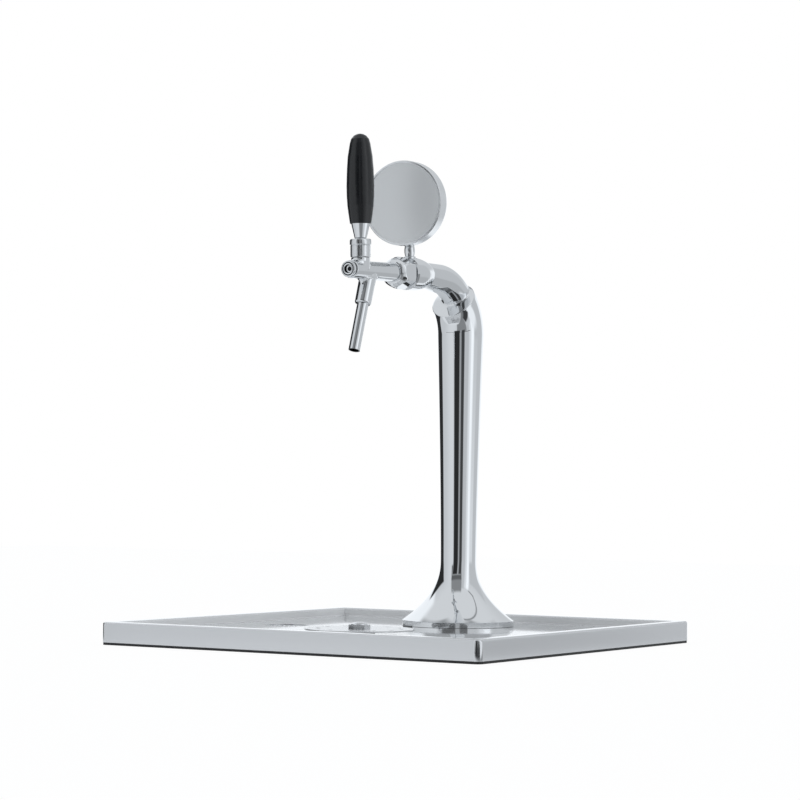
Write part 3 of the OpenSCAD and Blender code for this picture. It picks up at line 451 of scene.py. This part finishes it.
LIP_W = 14.0
CHROME = chrome()
SHEET = sheet_steel(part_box("tray_pan")[1].x - LIP_W * MM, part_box("base_gasket")[0].z)
BRASS = brass()
BLACK = moulded("black_grip", (0.012, 0.013, 0.015, 1), 0.22, 500, 0.04)
RUBBER = moulded("rubber", (0.02, 0.02, 0.021, 1), 0.62, 1400, 0.25)
WHITE = moulded("white_plastic", (0.80, 0.80, 0.78, 1), 0.42, 800, 0.08)
DISC = turned_steel("rinser_turned", middle("rinser_disc"))
STRAINER = turned_steel("drain_turned", middle("drain_strainer"))
BADGE = satin("badge_satin", (0.95, 0.97, 0.98, 1), 0.3, 0.42)
SOFT_CHROME = satin("satin_chrome", CHROME_TINT, 1.0, 0.24)

FINISH = {
    "chrome": CHROME, "steel": SHEET, "brushed": DISC, "brass": BRASS, "rubber": RUBBER,
    "white_plastic": WHITE, "black_plastic": BLACK, "badge_face": BADGE,
}
OWN_FINISH = {"drain_strainer": STRAINER, "drain_body": STRAINER, "rinser_nozzle": SOFT_CHROME,
              "medallion_case": SOFT_CHROME, "medallion_ring": SOFT_CHROME}


def paint(piece, material):
    piece.data.materials.clear()
    piece.data.materials.append(material)


for part in frame["record"]["subparts"]:
    paint(nodes[part["node"]], OWN_FINISH.get(part["node"], FINISH[part["material_slot"]]))

# %% [markdown]
# ## Shaping by rings
#
# Most pieces of a tap and its tower are turned or bent tubes. By hand one would add a circle,
# extrude its edge, and then move, scale and turn the new edge, again and again. This helper does
# the same with a list of rings. Each ring is a centre, a radius and a tilt about X.
#
# A tube that is built like this has clean quads, so a mirror finish shows no facets.

# %% Rings
SMOOTH = radians(35)
SAME = 1e-9
MERGE = 1e-6


def lone(name):
    piece = bpy.context.object
    piece.name = name
    bpy.ops.object.transform_apply(location=True, rotation=True, scale=True)
    return piece


def in_edit():
    bpy.ops.object.mode_set(mode="EDIT")
    bpy.ops.mesh.select_all(action="SELECT")


def close_up(angle=SMOOTH):
    """Merge doubles, point the faces outwards and smooth all but the sharp edges."""
    bpy.ops.mesh.select_all(action="SELECT")
    bpy.ops.mesh.remove_doubles(threshold=MERGE)
    bpy.ops.mesh.normals_make_consistent(inside=False)
    bpy.ops.object.mode_set(mode="OBJECT")
    bpy.ops.object.shade_smooth_by_angle(angle=angle)


def ringed(name, rings, sides, angle=SMOOTH, closed=False):
    """A tube through rings of (centre, radius, tilt); closed joins the last ring to the first."""
    bpy.ops.object.select_all(action="DESELECT")
    centre, radius, tilt = rings[0]
    bpy.ops.mesh.primitive_circle_add(vertices=sides, radius=radius, location=centre, rotation=(tilt, 0, 0))
    piece = lone(name)
    in_edit()
    if not closed:
        bpy.ops.mesh.edge_face_add()
        bpy.ops.mesh.select_mode(type="EDGE")
    for new_centre, new_radius, new_tilt in rings[1:]:
        step = Vector(new_centre) - Vector(centre)
        bpy.ops.mesh.extrude_region_move(TRANSFORM_OT_translate={"value": step})
        if abs(new_radius - radius) > SAME:
            bpy.ops.transform.resize(value=[new_radius / radius] * 3, center_override=new_centre)
        if abs(new_tilt - tilt) > SAME:
            bpy.ops.transform.rotate(value=tilt - new_tilt, orient_axis="X", center_override=new_centre)
        centre, radius, tilt = new_centre, new_radius, new_tilt
    close_up(angle)
    print(name, "has", len(piece.data.polygons), "faces")
    return piece


def capped(name, rings, sides, angle=SMOOTH):
    """A ringed tube whose last end is closed too."""
    piece = ringed(name, rings, sides, angle)
    bpy.ops.object.mode_set(mode="EDIT")
    bpy.ops.mesh.select_all(action="DESELECT")
    bpy.ops.mesh.select_mode(type="EDGE")
    bpy.ops.mesh.select_non_manifold()
    bpy.ops.mesh.edge_face_add()
    close_up(angle)
    return piece


def belongs(piece, body, slot, material, *replaced):
    """Finish a piece: paint it, hide the parts that it replaces and let it ride; the slot is not used."""
    paint(piece, material)
    if replaced:
        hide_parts(*replaced)
    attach(piece, body)


# %% [markdown]
# ## The tower
#
# The tower is one polished casting to the eye: a flared foot, a column that widens upwards, a hood
# that bends forward, and a thinner neck that leaves the hood flush with its back. Lofting it as
# one skin keeps the reflections running through without a seam. The hood's end is a nearly flat
# face with a small round edge, and the neck grows out of it.

# %% Tower
FOOT_R, FOOT_EDGE, FOOT_HEIGHT, FLARE_POWER = 60.75, 5.0, 70.0, 2.25
# The foot's rim reaches down over the gasket by APRON, with a wall of APRON_T
APRON, APRON_T, EDGE_ROUND = 0.75, 0.27, 0.5
COLUMN_LOW_R, COLUMN_TOP_R, COLUMN_POWER = 19.5, 25.0, 1.4
BEND_Z, BEND_R = 331.0, 49.8
HOOD_ANGLE, HOOD_END_R = radians(48), 24.7
NECK_BEND_R, NECK_R, NECK_DROP, NECK_EASE = 16.2, 13.5, 0.3, 4
# The hood's end: degrees past HOOD_ANGLE and radius, over a small edge and a flat face to a fillet
SHOULDER = [(0.35, 24.6), (0.65, 24.3), (0.85, 23.8), (1.0, 23.1), (1.5, 18.4), (1.8, 17.2), (2.4, 16.5),
            (3.4, NECK_BEND_R)]
TAP_TILT = radians(1.8)
TOWER_SIDES = 96
EDGE_RINGS, FLARE_RINGS, COLUMN_RINGS, HOOD_RINGS, NECK_RINGS, TIP_RINGS = 6, 48, 40, 18, 16, 6

foot_low, foot_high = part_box("tower_foot")
TOWER_Y = (foot_low.y + foot_high.y) / 2 / MM
FOOT_Z = foot_low.z / MM
NECK_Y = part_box("tower_body")[0].y / MM
BEND_Y = TOWER_Y - BEND_R
BEND_OUT_R = BEND_R + COLUMN_TOP_R
NECK_Z = BEND_Z + BEND_OUT_R - NECK_R - NECK_DROP


def blend(start, end, share):
    return start + (end - start) * share


def shares(count, first=0):
    """Even steps from 0 to 1; first=0 leaves out the end and first=1 the beginning."""
    return [k / count for k in range(first, count + first)]


def ring(y, z, radius, tilt=0.0):
    return Vector((0, y, z)) * MM, radius * MM, tilt


def bend_ring(angle, radius):
    """A ring of the bend, flush with the bend's outer side."""
    away = BEND_OUT_R - radius
    return ring(BEND_Y + away * cos(angle), BEND_Z + away * sin(angle), radius, angle)


def foot_rings():
    low, inner = FOOT_Z - APRON, FOOT_R - APRON_T
    rim = [ring(TOWER_Y, FOOT_Z, inner), ring(TOWER_Y, low, inner), ring(TOWER_Y, low, FOOT_R)]
    rim += [ring(TOWER_Y, FOOT_Z + FOOT_EDGE - EDGE_ROUND * cos(pi / 2 * share),
                 FOOT_R - EDGE_ROUND * (1 - cos(pi / 2 * share))) for share in shares(EDGE_RINGS)]
    flare = [ring(TOWER_Y, FOOT_Z + blend(FOOT_EDGE, FOOT_HEIGHT, share),
                  blend(COLUMN_LOW_R, FOOT_R, (1 - share) ** FLARE_POWER)) for share in shares(FLARE_RINGS)]
    return rim + flare


def neck_rings():
    start, end = HOOD_ANGLE + radians(SHOULDER[-1][0]), pi / 2 + TAP_TILT
    neck = [bend_ring(blend(start, end, share), blend(NECK_BEND_R, NECK_R, share ** 2 / NECK_EASE))
            for share in shares(NECK_RINGS, 1)]
    centre, radius, _ = neck[-1]
    _, y, z = centre / MM
    tip = [ring(blend(y, NECK_Y, share), blend(z, NECK_Z, share), blend(radius / MM, NECK_R, share), end)
           for share in shares(TIP_RINGS, 1)]
    return neck + tip


def tower_rings():
    column = [ring(TOWER_Y, blend(FOOT_Z + FOOT_HEIGHT, BEND_Z, share),
                   blend(COLUMN_LOW_R, COLUMN_TOP_R, share ** COLUMN_POWER)) for share in shares(COLUMN_RINGS)]
    hood = [bend_ring(HOOD_ANGLE * share, blend(COLUMN_TOP_R, HOOD_END_R, share))
            for share in shares(HOOD_RINGS) + [1]]
    shoulder = [bend_ring(HOOD_ANGLE + radians(more), radius) for more, radius in SHOULDER]
    return foot_rings() + column + hood + shoulder + neck_rings()


tower = capped("tower_shell", tower_rings(), TOWER_SIDES)
belongs(tower, "stand", "chrome", CHROME, "tower_body", "tower_foot")
print("tower's highest point, mm:", round(max(v.co.z for v in tower.data.vertices) / MM, 1))

# %% [markdown]
# ## The tap's body
#
# The body of the tap is one casting: a barrel, an upright boss for the lever and a slanted holder
# for the spout, with soft fillets where they meet. Cut edges are hard to round with a bevel when
# round forms cross at odd angles. So the forms are modelled one by one, remeshed into one skin of
# small even faces, and then smoothed a little, which melts the creases into fillets.
#
# All sizes are measured along the tap's own axes: forward from the end of the neck, and up. The
# helpers turn them into the frame.

# %% Tap axes
NECK_END = Vector((0, NECK_Y, NECK_Z)) * MM
TAP_TURN = Matrix.Rotation(TAP_TILT, 4, "X")
NUT_FRONT, BARREL_END = 64.1, 144.4
BOSS_AT, SPOUT_AT = 124.9, 108.8
SPOUT_LEAN = radians(19.7)
FINE_SIDES, BORE_SIDES, SMALL_BORE_SIDES = 72, 64, 48


def on_tap(forward, up):
    """A point in the tap's middle plane, in the frame."""
    return NECK_END + TAP_TURN @ (Vector((0, -forward, up)) * MM)


def along_tap(profile):
    """Rings of (distance, radius) round the barrel's axis."""
    return [(on_tap(at, 0), radius * MM, pi / 2 + TAP_TILT) for at, radius in profile]


def up_tap(forward, profile):
    """Rings of (height, radius) round an upright axis of the tap."""
    return [(on_tap(forward, up), radius * MM, TAP_TILT) for up, radius in profile]


def down_spout(profile):
    """Rings of (distance, radius) round the spout's axis."""
    start = on_tap(SPOUT_AT, 0)
    fall = (TAP_TURN @ Matrix.Rotation(-SPOUT_LEAN, 4, "X")) @ Vector((0, 0, -MM))
    return [(start + fall * down, radius * MM, TAP_TILT - SPOUT_LEAN) for down, radius in profile]


def rod(start, end, radius):
    """The profile of a plain cylinder, for a bore or a boss."""
    return [(start, radius), (end, radius)]


def only(piece):
    bpy.ops.object.select_all(action="DESELECT")
    piece.select_set(True)
    bpy.context.view_layer.objects.active = piece


def apply_all(piece):
    bpy.context.view_layer.objects.active = piece
    for modifier in list(piece.modifiers):
        bpy.ops.object.modifier_apply(modifier=modifier.name)


def joined(name, pieces):
    only(pieces[0])
    for piece in pieces:
        piece.select_set(True)
    bpy.ops.object.join()
    whole = bpy.context.object
    whole.name = whole.data.name = name
    return whole


def soften(piece, angle):
    only(piece)
    bpy.ops.object.shade_smooth_by_angle(angle=radians(angle))


def cast(whole, grain, rounds):
    """One skin of small even faces over all that is inside, with its creases melted."""
    whole.modifiers.new("skin", "REMESH").voxel_size = grain * MM
    melt = whole.modifiers.new("melt", "SMOOTH")
    melt.factor, melt.iterations = 0.5, rounds
    apply_all(whole)
    soften(whole, 60)
    print(whole.name, "has", len(whole.data.polygons), "faces")


def saddle(name, forward, lean, profile, narrow):
    """A flared root where a round form meets the barrel; it is narrowed to the barrel's width."""
    rings = [(on_tap(forward + abs(up) * lean, up), radius * MM, TAP_TILT) for up, radius in profile]
    piece = capped(name, rings, FINE_SIDES)
    in_edit()
    bpy.ops.transform.resize(value=(narrow, 1, 1), center_override=(0, 0, 0))
    close_up()
    return piece


def hollow(whole, *others, operation="DIFFERENCE"):
    """Cut the bores one after the other, or with another operation join or keep what is shared."""
    for other in others:
        bite = whole.modifiers.new("bite", "BOOLEAN")
        bite.operation, bite.solver, bite.object = operation, "EXACT", other
        apply_all(whole)
        bpy.data.objects.remove(other)
    print(whole.name, "has", len(whole.data.polygons), "faces after", operation.lower())


# %% [markdown]
# The slot under the lever and the bores are cut at the end, so that the lever's tail and the
# plunger keep their room inside. Each profile is a list of distances along its axis and radii.

# %% Tap body
BARREL = [(54.4, 9.2), (56.9, 9.2), (57.0, 7.15), (64.1, 7.15), (64.3, 9.9), (65.2, 10.2),
          (84, 9.85), (104, 9.5), (142, 9.4), (143.6, 9.3), (144.3, 9.0)]
BOSS = rod(0, 12.5, 9.8)
BOSS_ROOT = [(4, 13), (8.6, 13), (9.6, 11.6), (10.6, 10.6), (12, 9.8)]
HOLDER = [(0, 9), (22.4, 8.7), (36.2, 8.6), (37.3, 7.8)]
HOLDER_ROOT = [(-6, 16.5), (-8.2, 16.5), (-9.6, 14.2), (-10.8, 12.3), (-12.2, 10.8), (-13.8, 9.9),
               (-16.5, 9.2)]
BOSS_ROOT_NARROW, HOLDER_ROOT_NARROW = 0.72, 0.55
CAST_GRAIN, CAST_ROUNDS = 0.32, 16
SUPPLY, VALVE = rod(54, 91.9, 6.6), rod(91.5, 145, 5.2)
WELL = rod(6.6, 13.5, 8.7)
OUTLET, SOCKET = rod(0, 38, 4.9), rod(23.4, 38.5, 6.05)
SLOT_SIZE, SLOT_BACK, SLOT_UP = (5.8, 15.6, 8.2), 1.8, 4.1

barrel = capped("barrel", along_tap(BARREL), FINE_SIDES)
boss = capped("boss", up_tap(BOSS_AT, BOSS), FINE_SIDES)
boss_root = saddle("boss_root", BOSS_AT, 0, BOSS_ROOT, BOSS_ROOT_NARROW)
holder = capped("holder", down_spout(HOLDER), FINE_SIDES)
holder_root = saddle("holder_root", SPOUT_AT, tan(SPOUT_LEAN), HOLDER_ROOT, HOLDER_ROOT_NARROW)
tap_shell = joined("tap_casting", [barrel, boss, boss_root, holder, holder_root])
cast(tap_shell, CAST_GRAIN, CAST_ROUNDS)

supply = capped("supply", along_tap(SUPPLY), SMALL_BORE_SIDES)
valve = capped("valve", along_tap(VALVE), SMALL_BORE_SIDES)
well = capped("well", up_tap(BOSS_AT, WELL), BORE_SIDES)
outlet = capped("outlet", down_spout(OUTLET), SMALL_BORE_SIDES)
socket = capped("socket", down_spout(SOCKET), SMALL_BORE_SIDES)
bpy.ops.object.select_all(action="DESELECT")
bpy.ops.mesh.primitive_cube_add(size=MM, location=on_tap(BOSS_AT - SLOT_BACK, SLOT_UP),
                                rotation=(TAP_TILT, 0, 0), scale=SLOT_SIZE)
slot = lone("slot")
hollow(tap_shell, supply, valve, well, outlet, socket, slot)
soften(tap_shell, 50)
belongs(tap_shell, "stand", "chrome", CHROME, "tap_body")

# %% [markdown]
# ## Cap and bonnet
#
# The cap in the barrel's front end is turned with a groove, a raised ring and a sunk middle, and
# painted shade darkens the groove and the sunk middle, so it reads as dark and pale circles. The
# bonnet over the lever's ball is a smooth round nut in two tiers with a soft top. Both are turned
# from a profile, like a shape on a lathe, and the bonnet's last ring joins its first.

# %% Cap and bonnet
CAP = [(141.9, 5.1), (145.15, 5.1), (145.2, 8.2), (145.6, 8.5), (148.0, 8.5),
       (148.45, 8.4), (148.8, 8.15), (149.05, 7.8), (149.15, 7.4), (149.0, 7.1),
       (148.5, 6.85), (147.9, 6.65), (147.6, 6.45), (147.9, 6.2), (148.5, 6.0),
       (149.0, 5.7), (149.15, 5.3), (149.15, 4.9), (149.0, 4.5), (148.4, 4.2),
       (147.4, 4.0), (146.4, 3.8), (145.9, 3.4), (145.8, 2.8), (145.9, 0.5)]
# Bands in mm from the cap's axis that get painted shade: the sunk middle, its wall and the groove
CAP_SHADED_BANDS = [(-1, 2.4), (3.7, 4.4), (6.1, 6.9)]
BONNET = [(12.8, 9.9), (13.6, 10.45), (24.5, 10.5), (24.85, 10.1), (25.35, 10.1),
          (25.6, 10.8), (26.1, 11.1), (29.9, 11.1), (30.8, 10.9), (31.4, 10.5),
          (31.6, 10.05), (31.4, 9.8), (28.8, 9.8), (28.7, 5.8), (24, 7),
          (21.5, 9.4), (13, 9.4), (12.8, 9.9)]
CAP_SIDES, BONNET_SIDES = 96, 80

# The cap's grooves and sunk middle get painted shade
GROOVE_SHADED = groove_shaded_chrome("groove_shaded_chrome", on_tap(BARREL_END, 0), TAP_TURN @ Vector((0, -1, 0)), CAP_SHADED_BANDS)
cap = capped("turned_cap", along_tap(CAP), CAP_SIDES, radians(45))
belongs(cap, "stand", "chrome", GROOVE_SHADED, "front_cap")

bonnet = ringed("turned_bonnet", up_tap(BOSS_AT, BONNET), BONNET_SIDES, radians(28), closed=True)
belongs(bonnet, "stand", "chrome", SOFT_CHROME, "bonnet")

# %% [markdown]
# ## The coupling nut
#
# The nut that holds the tap is a hexagon with a corner at the top, so that a flat faces the side.
# Its front is a soft dome and its back a chamfer: what the hexagon shares with a turned form.

# %% Coupling nut
NUT_FLATS, NUT_BACK, NUT_STOCK = 30.0, 38.6, 28.0
NUT_TURNED = [(NUT_BACK, 14.6), (39.2, 15.6), (40.4, 17.0), (53, 17.3), (57, 16.4), (60, 15),
              (62.2, 13.3), (63.5, 11.9), (64.0, 11.0)]
NUT_SIDES, NUT_GRAIN, NUT_ROUNDS = 96, 0.34, 12
THREAD, RELIEF, FRONT_BORE = rod(37.5, 53.3, 8.1), rod(53.2, 57.6, 9.7), rod(57.5, 65, 7.6)

bpy.ops.object.select_all(action="DESELECT")
bpy.ops.mesh.primitive_cylinder_add(vertices=6, radius=NUT_FLATS / 2 / cos(pi / 6) * MM, depth=NUT_STOCK * MM,
                                    location=on_tap((NUT_BACK + NUT_FRONT) / 2, 0),
                                    rotation=(pi / 2 + TAP_TILT, 0, 0))
nut = lone("round_nut")
hollow(nut, capped("turned", along_tap(NUT_TURNED), NUT_SIDES), operation="INTERSECT")
cast(nut, NUT_GRAIN, NUT_ROUNDS)
thread = capped("thread", along_tap(THREAD), BORE_SIDES)
relief = capped("relief", along_tap(RELIEF), BORE_SIDES)
front_bore = capped("front_bore", along_tap(FRONT_BORE), BORE_SIDES)
hollow(nut, thread, relief, front_bore)
soften(nut, 45)
belongs(nut, "stand", "chrome", CHROME, "coupling_nut")

# %% [markdown]
# ## The tray
#
# The tray is one folded sheet: a skirt, a flat lip, a low wall and the floor. It starts as a block
# whose top is inset and pushed down. The corners are ground round, the folds get their bending
# radius, and Solidify gives the sheet its thickness. The rubber edge is a dark frame below it.

# %% Tray
SHEET_T, CORNER_R, FOLD_R, BEND_IN_R = 1.2, 6.0, 2.4, 1.4
CORNER_STEPS, FOLD_STEPS, BEND_IN_STEPS = 8, 5, 4
SEAL_TOP, SEAL_W, SEAL_IN = 2.6, 8.0, 0.4
SUMP_R, SUMP_DEPTH, TAIL_R = 23.0, 2.4, 10.05
RINSER_HOLE_R, LINE_HOLE_R = 10.25, 14.0
STUDS, STUD_HOLE_R, STUD_AT = 3, 3.5, 44.0
TINY, OVERRUN = 0.01, 1.0

TRAY_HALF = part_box("tray_pan")[1].x / MM
LIP_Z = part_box("tray_pan")[1].z / MM
FLOOR_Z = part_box("base_gasket")[0].z / MM
INNER_HALF = TRAY_HALF - LIP_W


def block(name, half, low, high):
    bpy.ops.object.select_all(action="DESELECT")
    bpy.ops.mesh.primitive_cube_add(size=MM, location=(0, 0, (low + high) / 2 * MM),
                                    scale=(2 * half, 2 * half, high - low))
    return lone(name)


def upright_tube(name, x, y, low, high, radius):
    return capped(name, [(Vector((x, y, z)) * MM, radius * MM, 0.0) for z in (low, high)], BORE_SIDES)


def pick(piece, kind, test):
    """Select the edges or faces whose corners, in mm, all pass the test; ends in edit mode."""
    bpy.ops.object.mode_set(mode="OBJECT")
    only(piece)
    in_edit()
    bpy.ops.mesh.select_mode(type=kind)
    bpy.ops.mesh.select_all(action="DESELECT")
    bpy.ops.object.mode_set(mode="OBJECT")
    mesh = piece.data
    for item in mesh.edges if kind == "EDGE" else mesh.polygons:
        item.select = test([mesh.vertices[index].co / MM for index in item.vertices])
    bpy.ops.object.mode_set(mode="EDIT")


def upright_edge(points):
    return abs(points[0].z - points[1].z) > TINY


def out_from_middle(point):
    return max(abs(point.x), abs(point.y))


def outer_corner(points):
    return upright_edge(points) and min(out_from_middle(p) for p in points) > TRAY_HALF - LIP_W / 2


def round_edges(radius, steps):
    bpy.ops.mesh.bevel(offset=radius * MM, segments=steps, affect="EDGES")


def fold_edges(piece, height, near, far, radius, steps):
    """Round the edges that lie at a height and between two distances from the middle."""
    def lies_there(points):
        return all(abs(p.z - height) < TINY and near < out_from_middle(p) < far for p in points)

    pick(piece, "EDGE", lies_there)
    round_edges(radius, steps)


pan = block("tray_skin", TRAY_HALF, SEAL_TOP, LIP_Z)
pick(pan, "FACE", lambda points: all(p.z > LIP_Z - TINY for p in points))
bpy.ops.mesh.inset(thickness=LIP_W * MM)
bpy.ops.mesh.extrude_region_move(TRANSFORM_OT_translate={"value": (0, 0, (FLOOR_Z - LIP_Z) * MM)})
pick(pan, "EDGE", outer_corner)
round_edges(CORNER_R, CORNER_STEPS)
fold_edges(pan, LIP_Z, TRAY_HALF - CORNER_R / 2, TRAY_HALF + OVERRUN, FOLD_R, FOLD_STEPS)
fold_edges(pan, LIP_Z, INNER_HALF - OVERRUN, INNER_HALF + OVERRUN, FOLD_R, FOLD_STEPS)
fold_edges(pan, FLOOR_Z, INNER_HALF - OVERRUN, INNER_HALF + OVERRUN, BEND_IN_R, BEND_IN_STEPS)
pick(pan, "FACE", lambda points: all(p.z < SEAL_TOP + TINY for p in points))
bpy.ops.mesh.delete(type="FACE")
close_up()
sheet = pan.modifiers.new("sheet", "SOLIDIFY")
sheet.thickness, sheet.offset, sheet.use_even_offset = SHEET_T * MM, -1.0, True
apply_all(pan)

drain_at = middle("drain_strainer") / MM
rinser_at = middle("rinser_disc") / MM
sump_low = FLOOR_Z - SUMP_DEPTH
cup = upright_tube("cup", drain_at.x, drain_at.y, sump_low - SHEET_T, FLOOR_Z - SHEET_T / 2, SUMP_R + SHEET_T)
hollow(pan, cup, operation="UNION")
holes = [upright_tube("sump", drain_at.x, drain_at.y, sump_low, LIP_Z, SUMP_R),
         upright_tube("tail", drain_at.x, drain_at.y, 0, LIP_Z, TAIL_R),
         upright_tube("rinser_hole", rinser_at.x, rinser_at.y, 0, LIP_Z, RINSER_HOLE_R),
         upright_tube("line_hole", 0, TOWER_Y, 0, LIP_Z, LINE_HOLE_R)]
for k in range(STUDS):
    turn = pi / 2 + 2 * pi * k / STUDS
    x, y = STUD_AT * cos(turn), TOWER_Y + STUD_AT * sin(turn)
    holes.append(upright_tube("stud_hole", x, y, 0, LIP_Z, STUD_HOLE_R))
hollow(pan, *holes)
soften(pan, 30)
pan.modifiers.new("even", "WEIGHTED_NORMAL").keep_sharp = True
apply_all(pan)
belongs(pan, "stand", "steel", SHEET, "tray_pan")

seal = block("seal_skin", TRAY_HALF - SEAL_IN, 0, SEAL_TOP)
pick(seal, "EDGE", upright_edge)
round_edges(CORNER_R - SEAL_IN, CORNER_STEPS)
close_up()
hollow(seal, block("opening", TRAY_HALF - SEAL_W, -OVERRUN, SEAL_TOP + OVERRUN))
soften(seal, 30)
belongs(seal, "stand", "rubber", RUBBER, "edge_seal")
